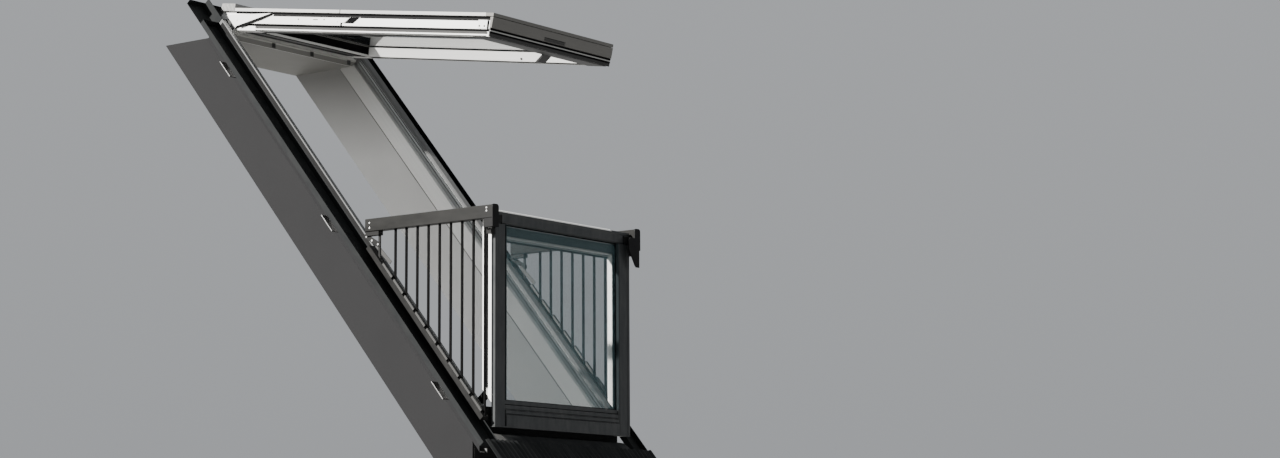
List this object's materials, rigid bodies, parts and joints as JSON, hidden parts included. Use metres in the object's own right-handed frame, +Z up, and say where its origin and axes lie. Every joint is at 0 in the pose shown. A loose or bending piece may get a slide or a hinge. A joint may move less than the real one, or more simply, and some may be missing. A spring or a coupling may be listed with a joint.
{
  "type": "balcony roof window",
  "caption": "Tall roof window standing open: upper sash raised like a canopy, glazed lower sash upright as a guard between folding side railings, with linings and flashing.",
  "frame": {"origin": "middle of the flat underside of the bottom mounting flange, in the plane of the roof deck", "axes": "+X along the eaves, +Y level into the roof, +Z up; the window lies in a roof pitched 50 degrees and leans back along +Y"},
  "size_m": [1.142, 2.1638, 2.2149],
  "materials": {
    "frame_timber": "white lacquered timber, satin",
    "sash_timber": "white lacquered timber, satin",
    "lining_board": "white painted board, matt",
    "frame_cover": "dark grey coated aluminium, satin",
    "sash_cover": "dark grey coated aluminium, satin",
    "front_cover": "grey coated aluminium, satin",
    "hood_metal": "grey coated aluminium, satin",
    "pane_glass": "clear coated insulating glass",
    "hinge_metal": "white coated steel",
    "steel": "galvanised steel",
    "handle_metal": "dark coated metal",
    "handrail_metal": "grey coated aluminium, satin",
    "baluster_metal": "black coated steel, satin",
    "link_metal": "bare aluminium strip",
    "cap_plastic": "black moulded plastic",
    "flashing_metal": "dark grey coated aluminium sheet"
  },
  "bodies": {
    "root": {"left_frame_jamb": "frame_timber", "right_frame_jamb": "frame_timber", "frame_head": "frame_timber", "frame_sill": "frame_timber", "left_jamb_cover": "frame_cover", "right_jamb_cover": "frame_cover", "head_cover": "frame_cover", "left_lining": "lining_board", "right_lining": "lining_board", "head_lining": "lining_board", "bottom_lining": "lining_board", "left_lower_stile": "sash_timber", "right_lower_stile": "sash_timber", "lower_top_rail": "sash_timber", "lower_bottom_rail": "sash_timber", "lower_pane": "pane_glass", "left_lower_side_cover": "sash_cover", "right_lower_side_cover": "sash_cover", "lower_top_cover": "sash_cover", "lower_bottom_cover": "sash_cover", "bottom_hinges": "handle_metal", "left_upper_stile": "sash_timber", "right_upper_stile": "sash_timber", "upper_top_rail": "sash_timber", "upper_outer_rail": "sash_timber", "upper_pane": "pane_glass", "left_upper_side_cover": "hood_metal", "right_upper_side_cover": "hood_metal", "upper_end_cover": "hood_metal", "upper_front_cover": "front_cover", "hood": "hood_metal", "left_hinge_arm": "hinge_metal", "right_hinge_arm": "hinge_metal", "hinge_plates": "hinge_metal", "head_hinges": "steel", "struts": "handle_metal", "upper_handle": "handle_metal", "left_handrail": "handrail_metal", "right_handrail": "handrail_metal", "left_balusters": "baluster_metal", "right_balusters": "baluster_metal", "left_base_rail": "baluster_metal", "right_base_rail": "baluster_metal", "foot_links": "link_metal", "rear_brackets": "handrail_metal", "front_caps": "cap_plastic", "lock_plate": "cap_plastic", "corner_brackets": "handrail_metal", "left_flashing": "flashing_metal", "right_flashing": "flashing_metal", "head_flashing": "flashing_metal", "apron": "flashing_metal", "bottom_flange": "steel", "side_brackets": "steel"}
  },
  "joints": []
}
